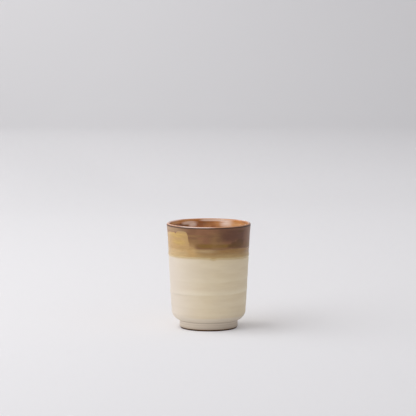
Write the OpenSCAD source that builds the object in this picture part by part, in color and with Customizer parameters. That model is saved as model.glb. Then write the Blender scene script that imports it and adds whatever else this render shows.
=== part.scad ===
// Yunomi: a tall tea cup with no handle, thrown in stoneware, glazed cream outside and dipped in
// amber at the lip. Z points up, the origin is the middle of the circle that the cup stands on,
// and -Y is the front. Angles run anticlockwise seen from above, from +X.

/* [Cup] */
// Height from the table to the crest of the lip, over the glaze
cup_h = 90.4; // [82:0.1:105]
// Diameter at the lip, over the glaze
lip_d = 72; // [68:0.5:80]
// Diameter at the foot of the wall, over the glaze
waist_d = 63.3; // [60:0.1:68]
// How far the wall swells past a straight line, a third of the way up
belly = 0.1; // [0:0.05:0.6]

/* [Lip] */
// Thickness of the clay at the lip
lip_t = 1.6; // [1.4:0.1:2.6]
// Height of the rounded crest of the lip
lip_round = 1.3; // [0.8:0.1:2]
// How far the lip turns out past the straight wall
lip_flare = 0.3; // [0:0.05:1]
// Height over which the lip turns out
flare_h = 9; // [5:0.5:12]
// How much the clay thins over that height, on its inside
lip_thin = 0.5; // [0:0.1:1]

/* [Inside] */
// Thickness of the clay at the foot of the wall
wall_t = 3; // [2:0.1:4]
// Thickness of the clay floor at its edge
floor_t = 4.2; // [3.5:0.1:7]
// Radius of the corner between the inside wall and the floor
inner_corner_r = 11; // [7:0.5:15]
// How far the inside floor dips at its middle
floor_dip = 0.8; // [0:0.1:1.2]

/* [Shoulder] */
// Height of the trimmed edge where the wall ends
shoulder_z = 14; // [12.5:0.5:18]
// Height of the corner that the shoulder's curve rounds off
turn_z = 9.7; // [9:0.1:10.4]
// How far that corner stands inside the foot of the wall
turn_in = 1.05; // [0.8:0.05:2]

/* [Foot ring] */
// Height of the foot ring, up to the trimmed ledge under the cup
foot_h = 7.4; // [6.5:0.1:8]
// How far the foot ring stands inside the foot of the wall
foot_in = 6.65; // [6:0.05:8]
// Width of the trimmed ledge round the foot ring
ledge_w = 1.7; // [1.2:0.05:2.4]
// How much the foot ring's radius narrows towards the table
foot_draft = 0.2; // [0:0.1:1]
// Width of the clay foot ring at the table
foot_ring_t = 4.2; // [3:0.1:6]
// Radius of the foot ring's two standing edges
foot_edge_r = 0.7; // [0.4:0.1:1]
// Depth of the hollow inside the foot ring
well_h = 5.3; // [4.6:0.1:5.8]
// How much the hollow's radius narrows towards its roof
well_draft = 0.6; // [0:0.1:1.2]
// Radius of the hollow's inner corner
well_corner_r = 1.2; // [0.6:0.1:2]
// How far the hollow's roof rises at its middle
well_dome = 0.3; // [0:0.1:0.8]

/* [Throwing marks] */
// Height of the spiral ridge that the potter's fingers left
ridge_h = 0.16; // [0:0.02:0.4]
// Rise of the spiral in one turn
ridge_pitch = 11; // [8:0.5:16]
// Height of the spiral's crest at +X
ridge_start_z = 2.6; // [0:0.1:11]

/* [Glazes] */
// Thickness of the cream glaze
cream_t = 0.5; // [0.35:0.05:0.8]
// Thickness of the amber glaze at the lip
amber_t = 0.4; // [0.3:0.05:0.6]
// Thickness of the glaze inside the cup
liner_t = 0.4; // [0.3:0.05:0.6]
// Height of the bare clay above the table
bare_h = 1.1; // [0.9:0.1:2]
// Height of the line between cream and amber
seam_z = 62.7; // [55:0.5:68]
// How much one side of that line stands above the other
seam_tilt = 0.7; // [0:0.1:2]
// Height of that line's small waves
seam_wave = 0.3; // [0:0.05:0.6]
// Height of the thick roll at the amber glaze's lower edge
roll_h = 4; // [2:0.5:6]
// How far that roll stands proud
roll_t = 0.2; // [0:0.02:0.4]
// How far the amber glaze reaches down inside, below the lip's crest
lip_in = 3; // [2.5:0.5:6]

/* [Hidden] */
// The gap that keeps a faceted coat clear of the round clay
bond_gap = 0.02;
// Angle of the high side of the line between cream and amber
seam_high_a = 215;
// Runs of amber below that line: angle, half width in degrees, and how far each runs
runs = [[277, 5, 0.22 * roll_h], [28, 14, 0.4 * roll_h], [112, 10, 0.25 * roll_h], [165, 17, 0.45 * roll_h]];
// Waves of the line: how many there are in a turn, their phase, and their share of its height
wave_shares = [[3, 40, 0.6], [7, 130, 0.4]];
// The roll's section: shares of its height, and at each the share of how far it stands proud
roll_shares = [[0, 0], [0.08, 0.7], [0.24, 1], [0.55, 0.6], [1, 0]];
// Height over which the ridge grows above the shoulder, and dies out below the amber
ridge_in_h = 6;
ridge_out_h = 20;
// Steps round the cup, and along each stretch of its outline
around = 72;
wall_rows = 30;
band_rows = 6;
curve_steps = 8;
floor_steps = 6;
belly_steps = 8;

// Clay under the glaze
clay_h = cup_h - amber_t;
lip_base_z = clay_h - lip_round;
clay_lip_r = lip_d / 2 - amber_t;
clay_waist_r = waist_d / 2 - cream_t;
turn_r = clay_waist_r - turn_in;
foot_top_r = clay_waist_r - foot_in;
ledge_r = foot_top_r + ledge_w;
foot_r = foot_top_r - foot_draft;
well_r = foot_r - foot_ring_t;
floor_z = well_h + floor_t;
inside_r = clay_waist_r - wall_t;
inside_lip_r = clay_lip_r - lip_t - lip_flare - lip_thin;
rim_in_z = clay_h - lip_in;
flare_z = lip_base_z - flare_h;

// Facets on a round coat lie inside its circle, so a face that wraps the clay is made larger by this
wrap = 1 / cos(180 / around);

function ease(t) = let(c = max(0, min(1, t))) c * c * (3 - 2 * c);
function mix(a, b, t) = a + (b - a) * t;
function unit(v) = v / norm(v);
function right_of(v) = [v.y, -v.x];
function reverse(list) = [for (i = [len(list) - 1:-1:0]) list[i]];
function arc(centre, size, from, to, steps) =
    [for (i = [0:steps]) let(a = mix(from, to, i / steps)) centre + [size.x * cos(a), size.y * sin(a)]];
function bezier(a, b, c, steps) =
    [for (i = [0:steps]) let(t = i / steps) mix(mix(a, b, t), mix(b, c, t), t)];

// The step from a point of a path to the same point of a coat of unit thickness, on the path's right
function mitre(path, i) =
    let(last = len(path) - 1,
        before = unit(i == 0 ? path[1] - path[0] : path[i] - path[i - 1]),
        after = unit(i == last ? path[last] - path[last - 1] : path[i + 1] - path[i]),
        n = unit(right_of(before) + right_of(after)))
    n / (n * right_of(after));
function coat_over(path, t) = [for (i = [0:len(path) - 1]) path[i] + t * mitre(path, i)];

// Share of the lip's turning out, from nothing to all of it, and of the belly's swelling
function flaring(z) = pow(max(0, (z - flare_z) / flare_h), 2);
function swelling(up) = up < 0 || up > 1 ? 0 : 27 / 4 * up * pow(1 - up, 2);

// Radius of the clay's outside at a height of the wall, of its inside, and of the foot ring's side
function wall_r(z) =
    let(up = (z - shoulder_z) / (lip_base_z - shoulder_z))
    mix(clay_waist_r, clay_lip_r - lip_flare, up) + belly * swelling(up) + lip_flare * flaring(z);
function inside_wall_r(z) =
    let(low = floor_z + inner_corner_r)
    mix(inside_r, inside_lip_r, (z - low) / (lip_base_z - low)) + (lip_flare + lip_thin) * flaring(z);
function foot_side_r(z) = mix(foot_r, foot_top_r, (z - foot_edge_r) / (foot_h - foot_edge_r));
function well_side_r(z) = well_r - well_draft * (z - foot_edge_r) / (well_h - foot_edge_r);

// The clay's outline, from the middle of the hollow under the cup, round the foot and the wall,
// over the lip and down to the middle of the floor
well_roof = [for (i = [0:floor_steps])
    let(r = (well_side_r(well_h) - well_corner_r) * i / floor_steps)
    [r, well_h + well_dome * ease(1 - i / floor_steps)]];
well_corner = arc([well_side_r(well_h) - well_corner_r, well_h - well_corner_r],
    [well_corner_r, well_corner_r], 90, 0, curve_steps / 2);
foot_edges = concat(
    arc([well_r + foot_edge_r, foot_edge_r], [foot_edge_r, foot_edge_r], 180, 270, curve_steps / 2),
    arc([foot_r - foot_edge_r, foot_edge_r], [foot_edge_r, foot_edge_r], 270, 360, curve_steps / 2));
foot_side = [for (z = [bare_h, foot_h]) [foot_side_r(z), z]];
shoulder = bezier([ledge_r, foot_h], [turn_r, turn_z], [clay_waist_r, shoulder_z], curve_steps);
belly_line = [for (i = [1:belly_steps])
    let(z = mix(shoulder_z, flare_z, i / (belly_steps + 1))) [wall_r(z), z]];
flare = [for (i = [0:curve_steps / 2]) let(z = flare_z + flare_h * i / (curve_steps / 2)) [wall_r(z), z]];
lip = arc([clay_lip_r - lip_t / 2, lip_base_z], [lip_t / 2, lip_round], 0, 180, curve_steps);
inside_corner = arc([inside_r - inner_corner_r, floor_z + inner_corner_r],
    [inner_corner_r, inner_corner_r], 0, -90, curve_steps);
floor_line = [for (i = [1:floor_steps])
    let(r = (inside_r - inner_corner_r) * (1 - i / floor_steps))
    [r, floor_z - floor_dip * ease(i / floor_steps)]];
rim_in = [inside_wall_r(rim_in_z), rim_in_z];
flare_in = [for (i = [1:curve_steps / 2])
    let(z = mix(rim_in_z, flare_z, i / (curve_steps / 2))) [inside_wall_r(z), z]];
well_bare = [well_side_r(bare_h), bare_h];

well_path = concat(well_roof, [for (i = [1:len(well_corner) - 1]) well_corner[i]], [well_bare]);
inside_path = concat([rim_in], flare_in, inside_corner, floor_line);
clay_outline = concat(well_path, foot_edges, foot_side, shoulder, belly_line, flare,
    [for (i = [1:len(lip) - 1]) lip[i]], inside_path);

// The spiral ridge, at a height and an angle
function ridge(z, a) =
    ridge_h * pow((1 + cos(360 * (z - ridge_start_z) / ridge_pitch - a)) / 2, 2)
    * ease((z - shoulder_z) / ridge_in_h) * ease((seam_z - z) / ridge_out_h);

// How far an angle is from another, and how much amber runs down at an angle
function apart(a, b) = abs(((a - b + 540) % 360) - 180);
function run_down(a, i = 0) =
    i == len(runs) ? 0 : runs[i][2] * ease(1 - apart(a, runs[i][0]) / runs[i][1]) + run_down(a, i + 1);
function waves(a, i = 0) =
    i == len(wave_shares) ? 0
    : wave_shares[i][2] * sin(wave_shares[i][0] * a + wave_shares[i][1]) + waves(a, i + 1);

// Height of the line between cream and amber, and radius over the cream at a height and an angle
function seam(a) = seam_z + seam_tilt / 2 * cos(a - seam_high_a) + seam_wave * waves(a) - run_down(a);
function cream_r(z, a) = wall_r(z) + cream_t + ridge(z, a);

// A coat's face against the clay: outside the clay it wraps it, and inside the cup it doesn't
function on_clay(path, outside) =
    [for (p = coat_over(path, bond_gap)) outside ? [p.x * wrap, p.y] : p];
function seam_face(a) =
    let(z = seam(a))
    [[cream_r(z, a), z], [(wall_r(z) + bond_gap) * wrap, z]];

// The section of the cream coat at an angle: up its outside, then down against the clay.
// Against the clay it follows the belly up to where the line can fall lowest.
cream_path = concat(foot_side, shoulder);
cream_outside = coat_over(cream_path, cream_t);
seam_low_z = seam_z - seam_tilt - seam_wave - roll_h / 2;
belly_under_seam = [for (p = belly_line) if (p.y < seam_low_z) p];
cream_inside = reverse(on_clay(concat(cream_path, belly_under_seam), true));
cream_edge = [[foot_side_r(bare_h) + cream_t / 2, bare_h], [foot_side_r(bare_h) + cream_t, bare_h + cream_t]];
function cream_section(a) = concat(
    cream_edge,
    [for (i = [1:len(cream_outside) - 1]) cream_outside[i]],
    [for (i = [1:wall_rows - 1])
        let(z = mix(shoulder_z, seam(a), i / wall_rows)) [cream_r(z, a), z]],
    seam_face(a),
    cream_inside);

// The section of the amber coat at an angle: up its outside and over the lip, then back against the clay
rim_path = concat(flare, [for (i = [1:len(lip) - 1]) lip[i]], [rim_in]);
rim_outside = coat_over(rim_path, amber_t);
rim_crest = len(flare) + curve_steps / 2 - 1;
rim_clay = [for (i = [0:len(rim_path) - 1])
    let(p = rim_path[i] + bond_gap * mitre(rim_path, i)) i < rim_crest ? [p.x * wrap, p.y] : p];
rim_last = len(rim_path) - 1;
function roll_row(i, a) =
    let(z = seam(a) + roll_h * roll_shares[i][0]) [cream_r(z, a) + roll_t * roll_shares[i][1], z];
function band_row(i, a) =
    let(t = i / band_rows, z = mix(seam(a) + roll_h, flare_z, t))
    [wall_r(z) + mix(cream_t, amber_t, ease(t)), z];
function rim_section(a) = concat(
    [for (i = [1:len(roll_shares) - 1]) roll_row(i, a)],
    [for (i = [1:band_rows - 1]) band_row(i, a)],
    [for (i = [0:rim_last - 1]) rim_outside[i]],
    [[rim_in.x - amber_t, rim_in_z], [rim_in.x - bond_gap, rim_in_z]],
    [for (i = [rim_last - 1:-1:0]) rim_clay[i]],
    reverse(seam_face(a)));

// A ring whose closed section changes with the angle
module ring_of(sections) {
    n = len(sections);
    m = len(sections[0]);
    points = [for (i = [0:n - 1]) for (p = sections[i])
        let(a = 360 * i / n) [p.x * cos(a), p.x * sin(a), p.y]];
    function at(i, j) = (i % n) * m + j % m;
    faces = [for (i = [0:n - 1]) for (j = [0:m - 1]) for (side = [0, 1])
        side == 0 ? [at(i, j), at(i, j + 1), at(i + 1, j + 1)]
                  : [at(i, j), at(i + 1, j + 1), at(i + 1, j)]];
    polyhedron(points, faces, convexity = 10);
}

module clay_body() {
    color("#8a6244") rotate_extrude($fn = 2 * around) polygon(clay_outline);
}

module cream_glaze() {
    color("#d8cbb2") ring_of([for (i = [0:around - 1]) cream_section(360 * i / around)]);
}

module amber_rim_glaze() {
    color("#8a5f3c") ring_of([for (i = [0:around - 1]) rim_section(360 * i / around)]);
}

module liner_glaze() {
    over = coat_over(inside_path, liner_t);
    last = len(over) - 1;
    color("#a86e3e") rotate_extrude($fn = 2 * around)
        polygon(concat(inside_path, [[0, over[last].y]],
            [for (i = [last - 1:-1:1]) over[i]], [[rim_in.x - liner_t, rim_in_z]]));
}

module foot_well_glaze() {
    over = coat_over(well_path, cream_t);
    last = len(over) - 1;
    color("#cfc2aa") rotate_extrude($fn = 2 * around)
        polygon(concat(well_path, [[well_bare.x - cream_t, bare_h]],
            [for (i = [last - 1:-1:1]) over[i]], [[0, over[0].y]]));
}

clay_body();
cream_glaze();
amber_rim_glaze();
liner_glaze();
foot_well_glaze();
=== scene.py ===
# %% [markdown]
# A yunomi is a tall tea cup with no handle, held in two hands. This one is thrown on a potter's
# wheel in an iron-brown stoneware. It is glazed cream outside, then its lip is dipped in an amber
# glaze that breaks from purple brown to ochre. The fired clay is the part that carries everything,
# and each glaze is a glassy coat, a little under half a millimetre thick, that is fused to it.
#
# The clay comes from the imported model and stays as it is. The coats are made again here, because
# their spiral ridges, rolled edges and runs need a finer mesh than a construction model has.

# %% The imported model, and the box that it fills
import functools
import math

import bmesh
import bpy
from mathutils import Matrix, Vector, noise


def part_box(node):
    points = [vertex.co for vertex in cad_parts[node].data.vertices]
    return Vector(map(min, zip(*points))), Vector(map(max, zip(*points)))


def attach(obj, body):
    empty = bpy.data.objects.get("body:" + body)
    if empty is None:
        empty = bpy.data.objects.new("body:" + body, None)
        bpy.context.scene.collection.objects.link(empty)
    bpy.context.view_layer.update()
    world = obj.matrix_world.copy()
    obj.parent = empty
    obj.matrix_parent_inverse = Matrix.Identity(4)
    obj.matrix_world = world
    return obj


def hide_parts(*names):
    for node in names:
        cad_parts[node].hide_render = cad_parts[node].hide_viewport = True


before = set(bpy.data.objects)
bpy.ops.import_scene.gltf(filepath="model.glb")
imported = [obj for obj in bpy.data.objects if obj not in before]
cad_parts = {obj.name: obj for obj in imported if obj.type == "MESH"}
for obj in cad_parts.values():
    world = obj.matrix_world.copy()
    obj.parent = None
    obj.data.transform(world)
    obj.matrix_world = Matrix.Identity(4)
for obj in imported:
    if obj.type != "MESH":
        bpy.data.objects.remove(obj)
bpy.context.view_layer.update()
print("The packed model holds", sorted(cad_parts))

# %% [markdown]
# The outline is worked out in millimetres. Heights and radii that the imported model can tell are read
# from the boxes of its nodes. The rest are sizes of the same drawing: the wall leans out in a
# straight line from a trimmed edge above the shoulder to the lip.

# %% Sizes, in millimetres
MM = 0.001


def lowest(node):
    """The lowest corner of a node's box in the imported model, in millimetres."""
    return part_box(node)[0] / MM


def highest(node):
    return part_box(node)[1] / MM


LIP_Z = highest("amber_rim_glaze").z
LIP_R = highest("amber_rim_glaze").x
BARE_Z = lowest("cream_glaze").z
RIM_IN_Z = highest("liner_glaze").z
WELL_ROOF_Z = highest("foot_well_glaze").z

SHOULDER_Z = 14.0
WAIST_R = 31.65
BELLY = 0.1
TURN_R = 30.5
TURN_Z = 9.3
LEDGE_R = 26.2
FOOT_R = 25.0
FOOT_H = 7.2
FOOT_DRAFT = 0.2

LIP_ROUND = 1.7
LIP_W = 2.4
LIP_FLARE = 0.3
LIP_THIN = 0.5
FLARE_H = 9.0
LIP_BASE_Z = LIP_Z - LIP_ROUND
FLARE_Z = LIP_BASE_Z - FLARE_H

INSIDE_R = 27.75
INSIDE_CORNER_R = 10.6
FLOOR_EDGE_Z = 9.9
FLOOR_DIP = 0.8

WELL_R = 19.6
WELL_DRAFT = 0.55
WELL_CORNER_R = 1.0
WELL_DOME = 0.3

COAT = 0.4
print(f"The cup is {2 * LIP_R:.1f} mm across and {LIP_Z:.1f} mm high")

# %% [markdown]
# Fingers that draw the clay up while the wheel turns leave one long ridge that climbs round the wall
# like a screw thread. It could be a bump in the material, but a real ridge also moves the outline and
# bends the reflections, so it is a formula that moves the mesh. It climbs slowly at the front and
# makes up for it at the back. It fades at the shoulder, where the cup was trimmed, and below the
# amber, where the wall was smoothed.

# %% The spiral ridge outside and inside
RIDGE_H = 0.36
RIDGE_PITCH = 11.0
RIDGE_START_Z = 2.4
RIDGE_IN_H = 6.0
RIDGE_OUT_Z = 62.0
RIDGE_OUT_H = 20.0
STRONG_Z = 31.0
STRONG_H = 9.0
INNER_RIDGE_H = 0.22
INNER_RIDGE_PITCH = 9.5
FLOOR_RIDGE_PITCH = 5.5
SLOW_FRONT = 0.7
CREST_ABOVE_SHARE = 0.5
CREST_BELOW_SHARE = 0.14
SOFT_SHARE = 0.35
UNEVEN_SHARE = 0.5
UNEVEN_TURN = math.radians(150)
UNEVEN_H = 20.0
CURVE_TOP = 4 / 27


def ease(t):
    """0 below 0, 1 above 1, and a smooth S between."""
    t = min(max(t, 0.0), 1.0)
    return t * t * (3 - 2 * t)


def mix(a, b, t):
    return a + (b - a) * t


def crest(height, pitch, start, turn):
    """1 on the spiral's crest and 0 in its valley; turn is an angle in radians.

    A finger pushes the clay upwards, so a crest ends sharply below and fades away above.
    """
    climbed = (turn - SLOW_FRONT * math.cos(turn)) / math.tau
    up = ((height - start) / pitch - climbed) % 1
    return max(ease(1 - up / CREST_ABOVE_SHARE), ease((up - 1) / CREST_BELOW_SHARE + 1))


def ridge_share(z, turn):
    """The outside spiral. One of its turns was pressed harder than the others."""
    fade = ease((z - SHOULDER_Z) / RIDGE_IN_H) * ease((RIDGE_OUT_Z - z) / RIDGE_OUT_H)
    hard = mix(SOFT_SHARE, 1.0, ease(1 - abs(z - STRONG_Z) / STRONG_H))
    around = turn + UNEVEN_TURN
    spot = (math.cos(around), math.sin(around), z / UNEVEN_H)
    uneven = 1 + UNEVEN_SHARE * noise.noise(spot)
    return crest(z, RIDGE_PITCH, RIDGE_START_Z, turn) * fade * hard * uneven


def outside_r(z):
    """Radius of the smooth glazed wall at a height.

    The swell's curve is CURVE_TOP at its highest, a third of the way up.
    """
    up = (z - SHOULDER_Z) / (LIP_BASE_Z - SHOULDER_Z)
    swell = BELLY / CURVE_TOP * up * (1 - up) ** 2 if 0 < up < 1 else 0.0
    lean = mix(WAIST_R, LIP_R - LIP_FLARE, up)
    return lean + swell + LIP_FLARE * max(0.0, (z - FLARE_Z) / FLARE_H) ** 2


# %% [markdown]
# The line where the amber stops was made by dipping the cup lip down, so it is nearly level, tilts a
# little with the hand that held the cup, and has a few short runs where the melted glaze crept down.
# Both coats follow the same formula, so they meet without a gap all the way round.

# %% The line between cream and amber
SEAM_Z = 62.7
SEAM_TILT = 1.5
SEAM_HIGH_TURN = 210
SEAM_WAVE = 0.3
SEAM_WAVES = ((3, 40, 0.6), (7, 130, 0.4))
SEAM_RUNS = ((276.5, 7, 0.75), (28, 14, 1.6), (112, 10, 1.0), (165, 17, 1.8))


def apart(a, b):
    """Degrees between two angles."""
    return abs((a - b + 540) % 360 - 180)


@functools.lru_cache(maxsize=None)
def seam_at(degrees):
    """Height of the line at an angle in degrees; each angle is worked out once."""
    waves = sum(
        share * math.sin(math.radians(count * degrees + phase))
        for count, phase, share in SEAM_WAVES
    )
    runs = sum(reach * ease(1 - apart(degrees, at) / width) for at, width, reach in SEAM_RUNS)
    tilt = SEAM_TILT / 2 * math.cos(math.radians(degrees - SEAM_HIGH_TURN))
    return SEAM_Z + tilt + SEAM_WAVE * waves - runs


def seam(turn):
    return seam_at(round(math.degrees(turn), 3))


print(f"The line's height at the front is {seam(math.radians(270)):.1f} mm")

# %% [markdown]
# A pot is a solid of revolution, so every coat starts as its outline in the plane of X and Z and is
# spun round Z. The outline has few points. Long edges are cut finer by an operator, which also
# spreads the values that the points carry: whether a point faces the air or the clay, and how far it
# follows the wavy line. After the spin, the points move by the formulas above.

# %% Outlines, and a helper that spins one into a coat
QUARTER_STEPS = 72
FINE = 0.4
COARSE = 3.0
MERGE = 0.001


def arc(centre, size, start, end, steps):
    """Points on an ellipse, from one angle in degrees to another."""
    turns = [math.radians(mix(start, end, i / steps)) for i in range(steps + 1)]
    return [(centre[0] + size[0] * math.cos(t), centre[1] + size[1] * math.sin(t)) for t in turns]


def bend(a, b, c, steps):
    """Points on the curve that leaves a towards b and arrives at c."""
    shares = [i / steps for i in range(steps + 1)]
    return [tuple(mix(mix(a[k], b[k], t), mix(b[k], c[k], t), t) for k in (0, 1)) for t in shares]


def draw_outline(bm, points, closed):
    """Vertices and edges of an outline; each point is (radius, height, air, pull)."""
    air = bm.verts.layers.float.new("air")
    pull = bm.verts.layers.float.new("pull")
    verts = []
    for radius, height, faces_air, follows in points:
        vert = bm.verts.new((radius, 0.0, height))
        vert[air] = faces_air
        vert[pull] = follows
        verts.append(vert)
    pairs = list(zip(verts, verts[1:]))
    if closed:
        pairs.append((verts[-1], verts[0]))
    for pair in pairs:
        bm.edges.new(pair)
    for edge in bm.edges[:]:
        step = FINE if min(v[air] for v in edge.verts) > 0.5 else COARSE
        cuts = int(edge.calc_length() / step)
        if cuts:
            bmesh.ops.subdivide_edges(bm, edges=[edge], cuts=cuts)


def spin_round(bm):
    """Spins the outline through a quarter turn, repeats that quarter, and joins the four."""
    bmesh.ops.spin(
        bm,
        geom=bm.verts[:] + bm.edges[:],
        cent=(0, 0, 0),
        axis=(0, 0, 1),
        dvec=(0, 0, 0),
        angle=math.tau / 4,
        space=Matrix(),
        steps=QUARTER_STEPS,
        use_merge=False,
    )
    quarter = bm.verts[:] + bm.edges[:] + bm.faces[:]
    for turns in (1, 2, 3):
        copied = bmesh.ops.duplicate(bm, geom=quarter)["geom"]
        bmesh.ops.rotate(
            bm,
            cent=(0, 0, 0),
            matrix=Matrix.Rotation(turns * math.tau / 4, 3, "Z"),
            verts=[v for v in copied if isinstance(v, bmesh.types.BMVert)],
        )
    bmesh.ops.remove_doubles(bm, verts=bm.verts, dist=MERGE)
    bmesh.ops.recalc_face_normals(bm, faces=bm.faces)


# %% [markdown]
# No hand-thrown wall is perfectly round. A slow noise moves the surface by less than a tenth of a
# millimetre, which is enough to break up the reflections. Each vertex also keeps three values for its
# material: its height above the line between the glazes, how much it stands on a crest, where a
# melted glaze runs thin, and how far across the wall it is, from 0 outside to 1 inside.

# %% Moving the points, and making a piece of the mesh
WOBBLE = 0.08
WOBBLE_SCALE = 0.045
LIP_WAVE = 0.1
LIP_WAVE_H = 18.0
LIP_WAVE_TURN = 0.7
INNER_MARGIN = 0.4
AXIS_R = 1e-4


def wobble(co):
    return WOBBLE * noise.noise(co * WOBBLE_SCALE)


def lip_wave(z, turn):
    """The lip's slow rise and fall, twice round, which fades out downwards."""
    fade = ease((z - (LIP_Z - LIP_WAVE_H)) / LIP_WAVE_H)
    return LIP_WAVE * math.cos(2 * turn + LIP_WAVE_TURN) * fade


def move_points(bm, mould):
    """mould(radius, height, turn, air, co) gives a point's new radius and its crest share."""
    air = bm.verts.layers.float["air"]
    pull = bm.verts.layers.float["pull"]
    from_seam = bm.verts.layers.float.new("from_seam")
    on_crest = bm.verts.layers.float.new("on_crest")
    inner = bm.verts.layers.float.new("inner")
    for vert in bm.verts:
        radius = math.hypot(vert.co.x, vert.co.y)
        turn = math.atan2(vert.co.y, vert.co.x)
        lift = vert[pull] * (seam(turn) - SEAM_Z)
        height = vert.co.z + lift + lip_wave(vert.co.z, turn)
        new_radius, share = mould(radius, height, turn, vert[air], vert.co)
        vert[from_seam] = height - seam(turn)
        vert[on_crest] = share
        inwards = outside_r(vert.co.z) - radius - INNER_MARGIN
        vert[inner] = ease(inwards / (LIP_W - 2 * INNER_MARGIN))
        if radius > AXIS_R:
            vert.co = (new_radius * math.cos(turn), new_radius * math.sin(turn), height)


def make_coat(outline, closed, mould):
    """A coat's mesh: its outline is drawn, spun round and moved by the mould."""
    bm = bmesh.new()
    draw_outline(bm, outline, closed)
    spin_round(bm)
    move_points(bm, mould)
    return bm


def new_object(name, bm):
    """Makes the mesh a smooth object of the scene."""
    mesh = bpy.data.meshes.new(name)
    bm.to_mesh(mesh)
    bm.free()
    mesh.shade_smooth()
    made = bpy.data.objects.new(name, mesh)
    bpy.context.scene.collection.objects.link(made)
    print(f"{name}: {len(mesh.polygons)} faces")
    return made


def finish_piece(name, bm, body, node):
    """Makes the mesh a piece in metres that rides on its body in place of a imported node."""
    bmesh.ops.scale(bm, vec=(MM, MM, MM), verts=bm.verts)
    piece = new_object(name, bm)
    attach(piece, body)
    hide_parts(node)
    return piece


# %% [markdown]
# The cream glaze covers the outside from the amber down to a line just above the table, where it was
# wiped off so that the cup wouldn't stick to the kiln shelf. There its edge is thin and round. Under
# the shoulder a trimming tool left a narrow ledge round the foot ring, and in its corner the glaze
# gathers in a small soft fillet.

# %% The cream coat
POOL_R = 0.5
EDGE_ROUND = 0.5
EDGE_STEPS = 5
LEDGE_LIFT = 0.3
SHOULDER_STEPS = 22
WALL_STEPS = 8


def foot_r(z):
    """Radius of the glazed foot ring at a height."""
    return FOOT_R - FOOT_DRAFT * (1 - z / FOOT_H)


def mould_outside(radius, height, turn, air, co):
    share = ridge_share(height, turn)
    if air < 0.5:
        return radius, share
    return radius + RIDGE_H * share + wobble(co), share


def make_cream_coat():
    edge_centre = (foot_r(BARE_Z) - EDGE_ROUND, BARE_Z + EDGE_ROUND)
    edge = arc(edge_centre, (EDGE_ROUND, EDGE_ROUND), 270, 360, EDGE_STEPS)
    corner = (FOOT_R, FOOT_H)
    pool = bend((FOOT_R, FOOT_H - POOL_R), corner, (FOOT_R + POOL_R, FOOT_H), EDGE_STEPS)
    ledge_end = (LEDGE_R + LEDGE_LIFT, FOOT_H + LEDGE_LIFT)
    ledge = bend((LEDGE_R - POOL_R, FOOT_H), (LEDGE_R, FOOT_H), ledge_end, EDGE_STEPS)
    shoulder = bend(ledge_end, (TURN_R, TURN_Z), (WAIST_R, SHOULDER_Z), SHOULDER_STEPS)
    air_side = [(r, z, 1, 0) for r, z in edge + pool + ledge + shoulder[1:]]
    belly = [mix(SHOULDER_Z, SEAM_Z, i / WALL_STEPS) for i in range(1, WALL_STEPS)]
    air_side += [(outside_r(z), z, 1, 0) for z in belly]
    air_side.append((outside_r(SEAM_Z), SEAM_Z, 1, 1))
    clay_side = [
        (outside_r(SEAM_Z) - COAT, SEAM_Z, 0, 1),
        (WAIST_R - COAT, SHOULDER_Z, 0, 0),
        (TURN_R - 2 * COAT, TURN_Z + 2 * COAT, 0, 0),
        (LEDGE_R - COAT, FOOT_H + COAT, 0, 0),
        (FOOT_R - COAT, FOOT_H + COAT, 0, 0),
        (foot_r(BARE_Z) - COAT - EDGE_ROUND, BARE_Z + COAT, 0, 0),
    ]
    bm = make_coat(air_side + clay_side, True, mould_outside)
    return finish_piece("cream_coat", bm, "root", "cream_glaze")


cream_coat = make_cream_coat()

# %% [markdown]
# Inside, the wall thins towards the lip, so it leans out more in its last centimetre. That makes the
# lip pleasant to drink from, and lets the inside of the far lip catch the light.

# %% The inside of the wall
CORNER_Z = FLOOR_EDGE_Z + INSIDE_CORNER_R


def inside_wall_r(z):
    """Radius of the glazed inside wall at a height."""
    top_r = LIP_R - LIP_W - LIP_FLARE - LIP_THIN
    lean = mix(INSIDE_R, top_r, (z - CORNER_Z) / (LIP_BASE_Z - CORNER_Z))
    return lean + (LIP_FLARE + LIP_THIN) * max(0.0, (z - FLARE_Z) / FLARE_H) ** 2


print(f"The cup is {2 * inside_wall_r(LIP_BASE_Z):.1f} mm wide inside, at the lip")


# %% [markdown]
# The amber glaze was dipped over the lip. Its lower edge is a soft roll that stands a little proud of
# the cream, because the melt slows down there. It turns over the lip and ends a few millimetres down
# inside the cup, where the poured glaze takes over.

# %% The amber coat round the lip
ROLL_H = 4.0
ROLL_T = 0.2
ROLL_SHARES = (
    (0.0, 0.0),
    (0.02, 0.35),
    (0.06, 0.68),
    (0.12, 0.9),
    (0.24, 1.0),
    (0.4, 0.86),
    (0.6, 0.45),
    (0.8, 0.12),
    (1.0, 0.0),
)
LIP_STEPS = 24
UNDER_LIP_STEPS = 8
FLARE_STEPS = 6


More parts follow.
